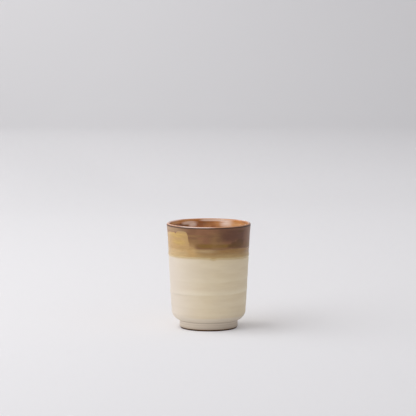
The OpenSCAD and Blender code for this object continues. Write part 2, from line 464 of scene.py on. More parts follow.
def make_rim_coat():
    roll = [
        (outside_r(SEAM_Z + ROLL_H * h) + ROLL_T * t, SEAM_Z + ROLL_H * h, 1, 1)
        for h, t in ROLL_SHARES
    ]
    flare_z = [FLARE_Z + FLARE_H * i / FLARE_STEPS for i in range(FLARE_STEPS)]
    flare = [(outside_r(z), z, 1, 0) for z in flare_z]
    lip_centre = (LIP_R - LIP_W / 2, LIP_BASE_Z)
    lip = arc(lip_centre, (LIP_W / 2, LIP_ROUND), 0, 180, LIP_STEPS)
    inside_r = inside_wall_r(RIM_IN_Z)
    air_side = roll + flare + [(r, z, 1, 0) for r, z in lip]
    air_side.append((inside_r, RIM_IN_Z, 1, 0))
    under_size = (LIP_W / 2 - COAT, LIP_ROUND - COAT)
    under_lip = arc(lip_centre, under_size, 180, 0, UNDER_LIP_STEPS)
    clay_side = [(inside_r + COAT, RIM_IN_Z, 0, 0)]
    clay_side += [(r, z, 0, 0) for r, z in under_lip]
    clay_side.append((outside_r(FLARE_Z) - COAT, FLARE_Z, 0, 0))
    clay_side.append((outside_r(SEAM_Z) - COAT, SEAM_Z, 0, 1))
    bm = make_coat(air_side + clay_side, True, mould_outside)
    return finish_piece("amber_rim_coat", bm, "root", "amber_rim_glaze")


amber_rim_coat = make_rim_coat()

# %% [markdown]
# The inside was glazed by pouring amber in and out again. Throwing marks climb the inside wall too,
# and end in a snail-shell spiral on the floor.

# %% The coat inside the cup
FLOOR_STEPS = 14
INSIDE_WALL_STEPS = 5
CORNER_STEPS = 20
FLOOR_RIDGE_H = 0.16
HIDDEN_DEPTH = 0.9 * COAT


def inside_outline(thick):
    """The inside wall and floor, as far behind the glaze's surface as thick says."""
    corner_r = INSIDE_CORNER_R + thick
    flat_r = INSIDE_R - INSIDE_CORNER_R
    heights = [mix(RIM_IN_Z, FLARE_Z, i / INSIDE_WALL_STEPS) for i in range(INSIDE_WALL_STEPS + 1)]
    wall = [(inside_wall_r(z) + thick, z) for z in heights]
    corner = arc((flat_r, CORNER_Z), (corner_r, corner_r), 0, -90, CORNER_STEPS)
    shares = [i / FLOOR_STEPS for i in range(1, FLOOR_STEPS + 1)]
    floor = [(flat_r * (1 - s), FLOOR_EDGE_Z - thick - FLOOR_DIP * ease(s)) for s in shares]
    return wall + corner + floor


def mould_inside(radius, height, turn, air, co):
    """On the wall the spiral climbs with the height, and on the floor it winds with the radius."""
    up = ease((height - FLOOR_EDGE_Z) / INSIDE_CORNER_R)
    wall = crest(height, INNER_RIDGE_PITCH, 0.0, turn) * up
    wall *= ease((RIM_IN_Z - height) / INSIDE_CORNER_R)
    if air < 0.5:
        return radius, wall
    return radius - INNER_RIDGE_H * wall + wobble(co), wall


def wind_floor(bm):
    """Raises the floor's spiral, which fades out at the middle and at the corner."""
    air = bm.verts.layers.float["air"]
    on_crest = bm.verts.layers.float["on_crest"]
    for vert in bm.verts:
        radius = math.hypot(vert.co.x, vert.co.y)
        turn = math.atan2(vert.co.y, vert.co.x)
        fade = ease(radius / FLOOR_RIDGE_PITCH) * ease((INSIDE_R - radius) / INSIDE_CORNER_R)
        share = crest(radius, FLOOR_RIDGE_PITCH, 0.0, turn) * fade
        low = vert.co.z < FLOOR_EDGE_Z + INSIDE_CORNER_R / 2
        if low and vert[air] > 0.5:
            vert.co.z += FLOOR_RIDGE_H * share
            vert[on_crest] = max(vert[on_crest], share)


def make_liner_coat():
    air_side = [(r, z, 1, 0) for r, z in reversed(inside_outline(0.0))]
    clay_side = [(r, z, 0, 0) for r, z in inside_outline(HIDDEN_DEPTH)]
    bm = make_coat(air_side + clay_side, False, mould_inside)
    wind_floor(bm)
    return finish_piece("liner_coat", bm, "root", "liner_glaze")


liner_coat = make_liner_coat()

# %% [markdown]
# Turned over, the cup shows the hollow inside its foot ring. It has a thin cream glaze that stops at
# the standing edge. The trimming tool leaves shallow rings that slope to the middle.

# %% The coat in the hollow under the cup
TRIM_RING_H = 0.07
TRIM_RING_PITCH = 3.1
ROOF_R = WELL_R - WELL_DRAFT - WELL_CORNER_R
WELL_CORNER_STEPS = 8


def well_outline(thick):
    """The hollow's roof and side, as far behind the glaze's surface as thick says."""
    roof_z = WELL_ROOF_Z - COAT - WELL_DOME + thick
    shares = [i / FLOOR_STEPS for i in range(FLOOR_STEPS + 1)]
    roof = [(ROOF_R * s, roof_z + WELL_DOME * ease(1 - s)) for s in shares]
    corner_centre = (ROOF_R, roof_z - WELL_CORNER_R)
    corner_size = (WELL_CORNER_R + thick, WELL_CORNER_R)
    corner = arc(corner_centre, corner_size, 90, 0, WELL_CORNER_STEPS)
    return roof + corner[1:] + [(WELL_R + thick, BARE_Z)]


def mould_well(radius, height, turn, air, co):
    return radius + wobble(co) * air, 0.0


def trim_roof(bm):
    air = bm.verts.layers.float["air"]
    for vert in bm.verts:
        radius = math.hypot(vert.co.x, vert.co.y)
        inside = ease((ROOF_R - radius) / TRIM_RING_PITCH)
        ring = crest(radius, TRIM_RING_PITCH, 0.0, 0.0) * inside
        vert.co.z -= TRIM_RING_H * ring * vert[air]


def make_well_coat():
    air_side = [(r, z, 1, 0) for r, z in well_outline(0.0)]
    clay_side = [(r, z, 0, 0) for r, z in reversed(well_outline(HIDDEN_DEPTH))]
    bm = make_coat(air_side + clay_side, False, mould_well)
    trim_roof(bm)
    return finish_piece("foot_well_coat", bm, "root", "foot_well_glaze")


foot_well_coat = make_well_coat()

# %% [markdown]
# Every finish is a network of nodes, and short helpers keep it readable: one adds a node and sets or
# links its inputs, and the others wrap the nodes that are used most. A finish is built like a
# painting: a first colour, and then layer on layer, each with a mask that says where it lies and a
# share that says how strong it is.

# %% Helpers for node networks


def srgb(code):
    """A web colour code as linear red, green, blue and alpha."""
    parts = [int(code[i : i + 2], 16) / 255 for i in (1, 3, 5)]
    linear = [((c + 0.055) / 1.055) ** 2.4 if c > 0.04045 else c / 12.92 for c in parts]
    return (*linear, 1.0)


def add_node(tree, kind, inputs=None, **settings):
    made = tree.nodes.new(kind)
    for name, value in settings.items():
        setattr(made, name, value)
    for key, value in (inputs or {}).items():
        if isinstance(value, bpy.types.NodeSocket):
            tree.links.new(value, made.inputs[key])
        else:
            made.inputs[key].default_value = value
    return made


def calc(tree, operation, a, b=0.0, clamp=False):
    node = add_node(tree, "ShaderNodeMath", {0: a, 1: b}, operation=operation, use_clamp=clamp)
    return node.outputs[0]


def rising(tree, value, low, high):
    """0 where the value is at low, 1 where it is at high, and an S between."""
    inputs = {"Value": value, "From Min": low, "From Max": high}
    node = add_node(tree, "ShaderNodeMapRange", inputs, interpolation_type="SMOOTHSTEP")
    return node.outputs["Result"]


def falling(tree, value, low, high):
    """1 where the value is at low, 0 where it is at high, and an S between."""
    return calc(tree, "SUBTRACT", 1.0, rising(tree, value, low, high))


def between(tree, share, low, high):
    """Low where the share is 0 and high where it is 1."""
    node = add_node(tree, "ShaderNodeMapRange", {"Value": share, "To Min": low, "To Max": high})
    return node.outputs["Result"]


def blend_colour(tree, share, a, b, blend_type="MIX"):
    node = add_node(
        tree, "ShaderNodeMix", {0: share, 6: a, 7: b}, data_type="RGBA", blend_type=blend_type
    )
    return node.outputs[2]


def layer(tree, colour, mask, share, over):
    """Lays a second colour over the first, where the mask says and as strong as the share."""
    return blend_colour(tree, calc(tree, "MULTIPLY", mask, share), colour, over)


def reading(tree, name):
    """A value that each vertex carries."""
    return add_node(tree, "ShaderNodeAttribute", attribute_name=name).outputs["Fac"]


def height_of(tree, place):
    return add_node(tree, "ShaderNodeSeparateXYZ", {0: place}).outputs["Z"]


def cloud_noise(tree, place, scale, detail):
    """A noise of soft patches, around a half."""
    inputs = {"Vector": place, "Scale": scale, "Detail": detail}
    return add_node(tree, "ShaderNodeTexNoise", inputs).outputs[0]


def add_bump(tree, relief, strength, depth, normal=None, invert=False):
    """The normal of a surface that seems to rise by a depth in metres where the relief is 1."""
    inputs = {"Height": relief, "Strength": strength, "Distance": depth}
    if normal is not None:
        inputs["Normal"] = normal
    return add_node(tree, "ShaderNodeBump", inputs, invert=invert).outputs[0]


def place_on(tree):
    """Where a point of the piece is, in metres."""
    return add_node(tree, "ShaderNodeTexCoord").outputs["Object"]


def new_material(name, constants):
    """A material, its tree of nodes, and its shader with the values that are the same all over."""
    material = bpy.data.materials.new(name)
    material.use_nodes = True
    tree = material.node_tree
    shader = tree.nodes["Principled BSDF"]
    for socket, value in constants.items():
        shader.inputs[socket].default_value = value
    return material, tree, shader


def link_up(owner, tree, values, sockets):
    """Links values to the sockets of a material's shader or of a group's output."""
    for name, value in values.items():
        tree.links.new(value, sockets[name])
    print(f"{len(tree.nodes)} nodes in {owner.name}")
    return owner


def new_group(name, inputs, outputs):
    """A node group and its sockets; inputs and outputs give each name its kind."""
    group = bpy.data.node_groups.new(name, "ShaderNodeTree")
    for label, kind in inputs.items():
        group.interface.new_socket(label, in_out="INPUT", socket_type=kind)
    for label, kind in outputs.items():
        group.interface.new_socket(label, in_out="OUTPUT", socket_type=kind)
    given = group.nodes.new("NodeGroupInput").outputs
    return group, given, group.nodes.new("NodeGroupOutput").inputs


def use_group(tree, group, inputs):
    return add_node(tree, "ShaderNodeGroup", inputs, node_tree=group).outputs


# %% [markdown]
# Effects that more than one finish uses are node groups. Wheel streaks are a noise that is squeezed
# along Z, so that it draws out round the cup as brush and wheel marks do.

# %% Wheel streaks
FLOAT, VECTOR, COLOUR = "NodeSocketFloat", "NodeSocketVector", "NodeSocketColor"


def make_streaks():
    kinds = {"Place": VECTOR, "Scale": FLOAT, "Squeeze": FLOAT}
    group, given, out = new_group("wheel_streaks", kinds, {"Streaks": FLOAT})
    factors = add_node(group, "ShaderNodeCombineXYZ", {0: 1.0, 1: 1.0, 2: given["Squeeze"]})
    inputs = {0: given["Place"], 1: factors.outputs[0]}
    squeezed = add_node(group, "ShaderNodeVectorMath", inputs, operation="MULTIPLY")
    inputs = {"Vector": squeezed.outputs[0], "Scale": given["Scale"], "Detail": 5.0, "Roughness": 0.55}
    streaks = add_node(group, "ShaderNodeTexNoise", inputs)
    return link_up(group, group, {"Streaks": streaks.outputs[0]}, out)


streaks_group = make_streaks()


def wheel_streaks(tree, place, scale, squeeze):
    inputs = {"Place": place, "Scale": scale, "Squeeze": squeeze}
    return use_group(tree, streaks_group, inputs)["Streaks"]


# %% [markdown]
# Pinholes are small pits where gas left the melt. A noise of cells places them, and only the cells
# with a high random value get one. Together with fine streaks they make the relief of a glaze.

# %% Pinholes, and the relief of a glaze
PINHOLE_CHANCE = (0.62, 0.7)
STREAK_SHARE, STREAK_DEPTH = 0.25, 0.0003
PINHOLE_DEPTH = 0.0002


def make_pinholes():
    kinds = {"Place": VECTOR, "Scale": FLOAT, "Size": FLOAT}
    group, given, out = new_group("pinholes", kinds, {"Pits": FLOAT})
    inputs = {"Vector": given["Place"], "Scale": given["Scale"]}
    cells = add_node(group, "ShaderNodeTexVoronoi", inputs, feature="F1")
    chosen = rising(group, cells.outputs["Color"], *PINHOLE_CHANCE)
    near = calc(group, "DIVIDE", cells.outputs["Distance"], given["Size"])
    pit = calc(group, "SUBTRACT", 1.0, near, clamp=True)
    return link_up(group, group, {"Pits": calc(group, "MULTIPLY", pit, chosen)}, out)


pinholes_group = make_pinholes()


def glaze_relief(tree, place, streaks, scale, size, share):
    """The normal of a glaze with fine streaks, and with pinholes of a scale, size and share."""
    pits = use_group(tree, pinholes_group, {"Place": place, "Scale": scale, "Size": size})["Pits"]
    streaked = add_bump(tree, streaks, STREAK_SHARE, STREAK_DEPTH)
    return add_bump(tree, pits, share, PINHOLE_DEPTH, normal=streaked, invert=True)


# %% [markdown]
# A splash is a patch of another colour round a point of the wall, given by its angle and height. It
# is a rounded rectangle with a soft and ragged rim: the distances across and up are raised to a
# power, added, and brought back by the root. A power of two would give an ellipse.

# %% Splashes
SQUARENESS = 3.0
RIM_NOISE = (170.0, 3.0)


def make_splash():
    kinds = {
        "Place": VECTOR,
        "Angle": FLOAT,
        "Height": FLOAT,
        "Half_width": FLOAT,
        "Half_height": FLOAT,
        "Ragged": FLOAT,
        "Soft": FLOAT,
    }
    group, given, out = new_group("splash", kinds, {"Mask": FLOAT})
    parts = add_node(group, "ShaderNodeSeparateXYZ", {0: given["Place"]})
    angle = calc(group, "ARCTAN2", parts.outputs["Y"], parts.outputs["X"])
    away = calc(group, "SUBTRACT", angle, given["Angle"])
    away = add_node(
        group, "ShaderNodeMath", {0: away, 1: math.pi, 2: -math.pi}, operation="WRAP"
    ).outputs[0]
    across = calc(group, "DIVIDE", away, given["Half_width"])
    up = calc(group, "SUBTRACT", parts.outputs["Z"], given["Height"])
    up = calc(group, "DIVIDE", up, given["Half_height"])
    across = calc(group, "POWER", calc(group, "ABSOLUTE", across), SQUARENESS)
    up = calc(group, "POWER", calc(group, "ABSOLUTE", up), SQUARENESS)
    distance = calc(group, "POWER", calc(group, "ADD", across, up), 1 / SQUARENESS)
    shift = calc(group, "SUBTRACT", cloud_noise(group, given["Place"], *RIM_NOISE), 0.5)
    shift = calc(group, "MULTIPLY", shift, given["Ragged"])
    rim = calc(group, "ADD", distance, shift)
    outer = calc(group, "ADD", 1.0, given["Soft"])
    inner = calc(group, "SUBTRACT", 1.0, given["Soft"])
    return link_up(group, group, {"Mask": falling(group, rim, inner, outer)}, out)


splash_group = make_splash()


def splash_mask(tree, place, splashes):
    """One mask for several splashes.

    Each is an angle and a height of the wall, half its width in degrees, half its height, how ragged
    its rim is and how soft.
    """
    mask = None
    for degrees, z, side, up, ragged, soft in splashes:
        inputs = {
            "Place": place,
            "Angle": math.radians(degrees),
            "Height": z * MM,
            "Half_width": math.radians(side),
            "Half_height": up * MM,
            "Ragged": ragged,
            "Soft": soft,
        }
        one = use_group(tree, splash_group, inputs)["Mask"]
        mask = one if mask is None else calc(tree, "MAXIMUM", mask, one)
    return mask


def splash_over(tree, place, colour, splashes, share, over):
    """Lays a second colour over the first inside the splashes."""
    return layer(tree, colour, splash_mask(tree, place, splashes), share, over)


# %% [markdown]
# The cream glaze is milky and satin. It looks warmer and lighter where it runs thin over a crest,
# and cooler where it lies thick. The side towards the window has a painted sheen, a paler and cooler
# patch that stands in for the window's reflection. Just below the amber the glaze takes up a little
# of its iron, as a yellow fringe a millimetre wide. Fine turning lines and a few pinholes go in the
# bump.

# %% The cream glaze on the wall
CREAM_THICK = srgb("#dcc9a6")
CREAM_THIN = srgb("#ebddbf")
CREAM_COOL = srgb("#dac9ab")
# Painted sheen: a paler, cooler colour on the side towards the window, for the window's reflection.
CREAM_PAINTED_SHEEN = srgb("#d9cdbf")
PAINTED_SHEEN_SIDE = ((182, 35, 58, 90, 0.15, 0.75),)
FRINGE = srgb("#c9ad78")
FRINGE_REACH = (-1.7, 0.1)
FRINGE_FRAY = 1.6


def cream_wall(tree, place, cloud):
    """The colour of the wall's cream."""
    above = reading(tree, "from_seam")
    cool = rising(tree, cloud, 0.45, 0.7)
    fine = rising(tree, wheel_streaks(tree, place, scale=45.0, squeeze=5.0), 0.35, 0.7)
    fray = calc(tree, "MULTIPLY", calc(tree, "SUBTRACT", cloud, 0.5), FRINGE_FRAY)
    fringe = rising(tree, calc(tree, "ADD", above, fray), *FRINGE_REACH)
    colour = layer(tree, CREAM_THICK, reading(tree, "on_crest"), 0.9, CREAM_THIN)
    colour = layer(tree, colour, cool, 0.6, CREAM_COOL)
    colour = layer(tree, colour, fine, 0.3, CREAM_THIN)
    # Painted sheen on the side towards the window.
    colour = splash_over(tree, place, colour, PAINTED_SHEEN_SIDE, 0.9, CREAM_PAINTED_SHEEN)
    return layer(tree, colour, fringe, 0.65, FRINGE)


# %% [markdown]
# Below the shoulder the glaze is painted paler, as painted light that lifts the shade of the
# underside. On the foot ring the dark clay shows through as a warm grey, also lightened as painted
# light against the shade under the ledge, and the side away from the window carries painted shade. A
# thin darker line goes round the ring at 5 mm, painted shade lies in the crease where the ring meets
# the ledge, and the ring grows darker towards the bottom, most just above the bare clay. These are
# more layers over the wall's colour, and most of them go by the height.

# %% The cream glaze on the foot, and the finish
GLAZE_IOR = 1.6
CREAM_ROUGH = (0.38, 0.54)
# Painted light: the underside of the shoulder is painted paler to lift its shade.
UNDER_PAINTED_LIGHT = srgb("#dacdb9")
UNDER_LIGHT_Z = (10.5, 12.5)
# A warm grey where the clay shows through, also lightened as painted light against the shade under the
# ledge.
FOOT_GREY_AND_LIGHT = srgb("#d5c8b6")
GREY_Z = (6.8, 8.0)
# Painted shade on the side of the foot away from the window.
FOOT_PAINTED_SHADE = srgb("#b5a796")
PAINTED_SHADE_SIDE = ((325, 4, 42, 8, 0.1, 0.8),)
# A darker brown for the ring's line, its painted crease shade and its darkening towards the bottom.
FOOT_DARKENING = srgb("#8a735b")
# A thin darker line at 5 mm, and painted shade in the crease where the ring meets the ledge.
FOOT_LINE_AND_CREASE_SHADE = ((4.9, 5.0, 0.25), (7.0, 7.2, 0.4))
LINE_FADE = 0.6
# The ring grows darker towards the bottom, most just above the bare clay.
DARKER_TOWARDS_BOTTOM = ((1.1, 6.0, 0.5), (1.1, 2.2, 0.8))


def cream_foot(tree, place, colour):
    """Layers for the underside of the shoulder and the foot ring."""
    height = height_of(tree, place)

    def below(low, high):
        return falling(tree, height, low * MM, high * MM)

    # Painted light under the shoulder.
    colour = layer(tree, colour, below(*UNDER_LIGHT_Z), 0.9, UNDER_PAINTED_LIGHT)
    # The ring's grey, also lightened as painted light.
    colour = layer(tree, colour, below(*GREY_Z), 0.9, FOOT_GREY_AND_LIGHT)
    # Painted shade on the side away from the window.
    colour = splash_over(tree, place, colour, PAINTED_SHADE_SIDE, 0.45, FOOT_PAINTED_SHADE)
    # A thin darker line, and painted shade in the crease under the ledge.
    for low, high, share in FOOT_LINE_AND_CREASE_SHADE:
        over = rising(tree, height, (low - LINE_FADE) * MM, low * MM)
        line = calc(tree, "MULTIPLY", over, below(high, high + LINE_FADE))
        colour = layer(tree, colour, line, share, FOOT_DARKENING)
    # Darker towards the bottom.
    for low, high, share in DARKER_TOWARDS_BOTTOM:
        colour = layer(tree, colour, below(low, high), share, FOOT_DARKENING)
    return colour


def make_cream_glaze():
    material, tree, shader = new_material("cream_glaze_finish", {"IOR": GLAZE_IOR})
    place = place_on(tree)
    cloud = cloud_noise(tree, place, scale=38.0, detail=3.0)
    colour = cream_foot(tree, place, cream_wall(tree, place, cloud))
    lines = wheel_streaks(tree, place, scale=90.0, squeeze=14.0)
    changing = {
        "Base Color": colour,
        "Roughness": between(tree, cloud, *CREAM_ROUGH),
        "Normal": glaze_relief(tree, place, lines, scale=420.0, size=0.16, share=0.6),
    }
    return link_up(material, tree, changing, shader.inputs)


cream_finish = make_cream_glaze()
cream_coat.data.materials.append(cream_finish)
foot_well_coat.data.materials.append(cream_finish)

# %% [markdown]
# The amber that was poured inside is glossier and more orange than the amber outside, and runs down
# the wall in brighter streaks. Near the lip it carries painted shade, dark patches for the shadow
# inside the cup and for the shaded wall mirrored in the glaze, and painted light, brighter stretches
# where the window lights the wall. Pale patches are painted reflections of light in the glaze, and a
# painted highlight, a pale line with a white spot, follows the inner edge of the far lip for a part
# of its way. The lip's inner side and the wall below it share this finish, so it is a node group.

# %% The poured amber
POURED_AMBER = srgb("#c67d38")
POURED_BRIGHT = srgb("#e0a768")
POURED_DARK = srgb("#9a5822")
# Painted shade: a dark brown for the shadow inside the cup and for the shaded wall mirrored in the
# glaze.
POURED_SHADE = srgb("#4a2414")
# Painted reflection: a pale colour for light mirrored in the glaze and for the far lip's highlight.
POURED_REFLECTION_PALE = srgb("#f2d9c6")
# Painted shade: dark patches near the lip for the shadow inside and the shaded wall mirrored in the
# glaze.
POURED_SHADE_PATCHES = (
    (155, 86.6, 10, 2.2, 0.9, 0.5),
    (131, 85.3, 9, 1.5, 0.5, 0.5),
    (97, 86.8, 14, 1.8, 0.7, 0.9),
    (250, 84, 20, 3, 0.9, 0.5),
)
# Painted light: brighter stretches where the window lights the inside.
POURED_LIGHT_PATCHES = (
    (45, 85.6, 26, 2.6, 0.35, 0.95),
    (150, 88.4, 12, 1.4, 0.7, 0.5),
)
# Painted reflections of light in the glaze; the last two are the painted highlight on the far lip's
# inner edge, a pale line and a white spot.
POURED_REFLECTIONS = (
    (121, 87.1, 12, 1.3, 0.3, 0.4),
    (115, 85.7, 6, 1.9, 0.4, 0.5),
    (62, 87, 7.5, 3.2, 0.4, 0.95),
    (82, 88.9, 20, 0.85, 0.1, 0.25),
    (69, 88.9, 4.5, 1.1, 0.1, 0.5),
)


def make_poured():
    results = {"Colour": COLOUR, "Relief": FLOAT}
    group, given, out = new_group("poured_amber", {"Place": VECTOR}, results)
    place = given["Place"]
    runs = wheel_streaks(group, place, scale=70.0, squeeze=0.35)
    banded = rising(group, wheel_streaks(group, place, scale=40.0, squeeze=3.0), 0.4, 0.62)
    colour = blend_colour(group, banded, POURED_AMBER, POURED_DARK)
    colour = layer(group, colour, rising(group, runs, 0.5, 0.7), 0.6, POURED_BRIGHT)
    # Painted shade and dark reflections.
    colour = splash_over(group, place, colour, POURED_SHADE_PATCHES, 0.5, POURED_SHADE)
    # Painted light.
    colour = splash_over(group, place, colour, POURED_LIGHT_PATCHES, 0.85, POURED_BRIGHT)
    # Painted reflections, and the far lip's painted highlight.
    colour = splash_over(group, place, colour, POURED_REFLECTIONS, 0.85, POURED_REFLECTION_PALE)
    return link_up(group, group, {"Colour": colour, "Relief": runs}, out)


poured_group = make_poured()

# %% [markdown]
# The amber glaze is one melt that shows many colours. Low on the band it lies over cream, and is a
# translucent ochre. Here and there it splashes up towards the lip, and parts of it are golden. At
# its lower edge the melt thins out, and the cream shines through.

# %% The ochre of the amber glaze
OCHRE = srgb("#a07843")
OCHRE_THIN = srgb("#bfa06b")
THIN_REACH = (0.5, 7.0)
OCHRE_EDGE = srgb("#dcc79c")
EDGE_REACH = (0.3, 2.1)
EDGE_SHARE = 0.7
OCHRE_SPLASH = srgb("#c6a067")
OCHRE_SPLASHES = (
    (207, 77.3, 16, 7.2, 0.3, 0.06),
    (190, 76.9, 11, 7.2, 0.35, 0.06),
    (229, 79, 11.8, 7.2, 0.35, 0.06),
    (198, 70, 24, 12, 0.35, 0.1),
    (230, 69, 14.5, 10.5, 0.4, 0.12),
    (242, 67.5, 11, 8.4, 0.55, 0.5),
    (57, 74.6, 13, 6.6, 0.45, 0.08),
    (77, 71, 14, 7.4, 0.45, 0.08),
    (66, 67, 27, 8, 0.4, 0.1),
    (125, 74.4, 8.5, 8.6, 0.45, 0.08),
    (134, 67.5, 12, 9, 0.45, 0.1),
)
OCHRE_GOLD = srgb("#cda95f")
GOLD_SPLASHES = (
    (213, 82.6, 19, 2, 0.6, 0.5),
    (222, 76.5, 12, 2, 0.6, 0.5),
    (59, 78, 12, 2, 0.6, 0.5),
)


def amber_ochre(tree, place, above, splash):
    """The colour where the melt lies over cream."""
    colour = blend_colour(tree, falling(tree, above, *THIN_REACH), OCHRE, OCHRE_THIN)
    colour = layer(tree, colour, splash, 0.85, OCHRE_SPLASH)
    colour = splash_over(tree, place, colour, GOLD_SPLASHES, 0.7, OCHRE_GOLD)
    edge = calc(tree, "SUBTRACT", EDGE_SHARE, rising(tree, above, *EDGE_REACH), clamp=True)
    return blend_colour(tree, edge, colour, OCHRE_EDGE)


# %% [markdown]
# Higher up the melt lies on bare clay, takes up iron and turns purple brown, rosy in patches, paler
# where it is thin and darker where it is thick.

# %% The iron brown of the amber glaze
IRON = srgb("#835735")
IRON_ROSE = srgb("#92623f")
IRON_PALE = srgb("#967040")
IRON_DARK = srgb("#5d331c")
PALE_SPLASHES = (
    (282, 78.8, 10, 6.4, 0.8, 0.6),
    (283, 74.2, 13, 3, 0.5, 0.4),
    (250, 82.6, 17, 0.9, 0.6, 0.6),
    (248, 77.6, 12, 2.6, 0.8, 0.6),
    (80, 77, 9, 6.5, 0.8, 0.6),
)
DARK_SPLASHES = (
    (303, 81.9, 19, 4.8, 0.7, 0.6),
    (307, 85.6, 22, 3, 0.7, 0.8),
    (320, 82, 9, 5.5, 0.55, 0.6),
    (100, 85, 30, 6, 0.5, 0.45),
)


def amber_iron(tree, place, streak):
    """The colour where the melt lies on bare clay."""
    rosy = rising(tree, cloud_noise(tree, place, scale=40.0, detail=3.0), 0.42, 0.62)
    colour = blend_colour(tree, rosy, IRON, IRON_ROSE)
    colour = splash_over(tree, place, colour, PALE_SPLASHES, 0.75, IRON_PALE)
    dark = calc(tree, "MULTIPLY", rising(tree, streak, 0.5, 0.7), 0.4)
    dark = calc(tree, "MAXIMUM", dark, splash_mask(tree, place, DARK_SPLASHES))
    return layer(tree, colour, dark, 0.85, IRON_DARK)


# %% [markdown]
# A dark line runs just below the lip on the outside. On the lip itself the melt runs thin, and a
# pinkish tan shows through that is also lightened as painted highlight, with pale patches of painted
# highlight at the front and at the back left. Over the lip, the poured amber takes over.

# %% The lip
# The lip's thin tan, also lightened as painted highlight.
LIP_TAN_AND_HIGHLIGHT = srgb("#c48a60")
# Painted highlight on the lip.
LIP_HIGHLIGHT = srgb("#f2d3c2")
LIP_DARK = srgb("#331a0e")
DARK_BELOW_LIP = (2.0, 1.4)
BARE_BELOW_LIP = (1.05, 0.45)
# Where the painted highlight lies on the lip.
LIP_HIGHLIGHT_SPLASHES = (
    (252, 90, 22, 5, 0.4, 0.4),
    (160, 90, 22, 5, 0.3, 0.4),
)


def amber_lip(tree, place, inner, colour):
    """Layers for the lip and for the side that faces inwards."""
    height = height_of(tree, place)

    def near_lip(start, end):
        return rising(tree, height, (LIP_Z - start) * MM, (LIP_Z - end) * MM)

    outside = calc(tree, "SUBTRACT", 1.0, inner)
    dark = calc(tree, "MULTIPLY", near_lip(*DARK_BELOW_LIP), outside)
    colour = layer(tree, colour, dark, 0.95, LIP_DARK)
    poured = use_group(tree, poured_group, {"Place": place})["Colour"]
    colour = blend_colour(tree, rising(tree, inner, 0.3, 0.7), colour, poured)
    # Tan with patches of painted highlight.
    lip = blend_colour(tree, splash_mask(tree, place, LIP_HIGHLIGHT_SPLASHES), LIP_TAN_AND_HIGHLIGHT, LIP_HIGHLIGHT)
    return layer(tree, colour, near_lip(*BARE_BELOW_LIP), 0.9, lip)


# %% [markdown]
# Between ochre and iron lie dark olive streaks, burnt in places, and a few stretches are cloudy and
# paler. The border between the two wanders with the wheel streaks. A fine mottle goes over all, and
# the iron is a little less glossy than the ochre.

# %% The amber glaze
IRON_START = (7.4, 9.4)
BORDER_DRIFT = 5.0
CLOUDY_SPLASHES = (
    (266, 69.8, 14, 1.4, 0.2, 0.8),
    (206, 86.9, 26, 1.8, 0.3, 0.6),
    (213, 66.7, 24, 3.6, 0.6, 0.5),
)
OLIVE = srgb("#866014")
OLIVE_SPLASHES = (
    (265, 74.3, 12, 1.8, 0.5, 0.5),
    (301, 74.2, 26, 1.4, 0.45, 0.6),
    (358, 73.2, 22, 1.7, 0.6, 0.5),
    (100, 72.8, 14, 1.9, 0.6, 0.5),
    (170, 73.4, 18, 1.8, 0.6, 0.5),
)
OLIVE_BURNT = srgb("#5f3800")
BURNT_SPLASHES = (
    (319, 76.2, 8, 2.9, 0.25, 0.2),
    (313, 75.2, 10.5, 2.2, 0.25, 0.2),
    (317, 73.5, 9.5, 1.9, 0.4, 0.7),
    (304, 73.9, 6, 1.4, 0.6, 0.6),
    (321, 85.8, 6, 1, 0.6, 0.5),
    (14, 75, 13, 2, 0.6, 0.5),
    (153, 75.2, 13, 2.2, 0.6, 0.5),
)
MOTTLE = srgb("#b9b4ae")
AMBER_ROUGH = (0.26, 0.38)
POURED_ROUGH = 0.07


def make_amber_glaze():
    material, tree, shader = new_material("amber_glaze_finish", {})
    place = place_on(tree)
    above = reading(tree, "from_seam")
    inner = reading(tree, "inner")
    streak = wheel_streaks(tree, place, scale=32.0, squeeze=4.0)
    fine = wheel_streaks(tree, place, scale=110.0, squeeze=6.0)
    splash = splash_mask(tree, place, OCHRE_SPLASHES)
    drift = calc(tree, "MULTIPLY", calc(tree, "SUBTRACT", streak, 0.5), BORDER_DRIFT)
    iron_share = rising(tree, calc(tree, "ADD", above, drift), *IRON_START)
    iron_share = calc(tree, "MULTIPLY", iron_share, calc(tree, "SUBTRACT", 1.0, splash))

    ochre = amber_ochre(tree, place, above, splash)
    colour = blend_colour(tree, iron_share, ochre, amber_iron(tree, place, streak))
    colour = splash_over(tree, place, colour, CLOUDY_SPLASHES, 0.3, OCHRE_EDGE)
    colour = splash_over(tree, place, colour, OLIVE_SPLASHES, 0.85, OLIVE)
    colour = splash_over(tree, place, colour, BURNT_SPLASHES, 0.8, OLIVE_BURNT)
    mottled = blend_colour(tree, 1.0, colour, MOTTLE, "MULTIPLY")
    colour = layer(tree, colour, rising(tree, fine, 0.3, 0.7), 0.25, mottled)

    rough = between(tree, iron_share, *AMBER_ROUGH)
    rough = add_node(tree, "ShaderNodeMix", {0: inner, 2: rough, 3: POURED_ROUGH}).outputs[0]
    changing = {
        "Base Color": amber_lip(tree, place, inner, colour),
        "Roughness": rough,
        "Normal": glaze_relief(tree, place, fine, scale=380.0, size=0.14, share=0.5),
    }
    return link_up(material, tree, changing, shader.inputs)


amber_rim_coat.data.materials.append(make_amber_glaze())

# %% [markdown]
# On the wall inside, the poured amber also thins to a bright orange on the crests, and gathers in a
# deep brown pool on the floor.

# %% The glaze inside the cup
POOL_BROWN = srgb("#5a3d1c")
POOL_H = 7.0
RUNS_DEPTH = 0.0004
LINER_ROUGH = 0.11


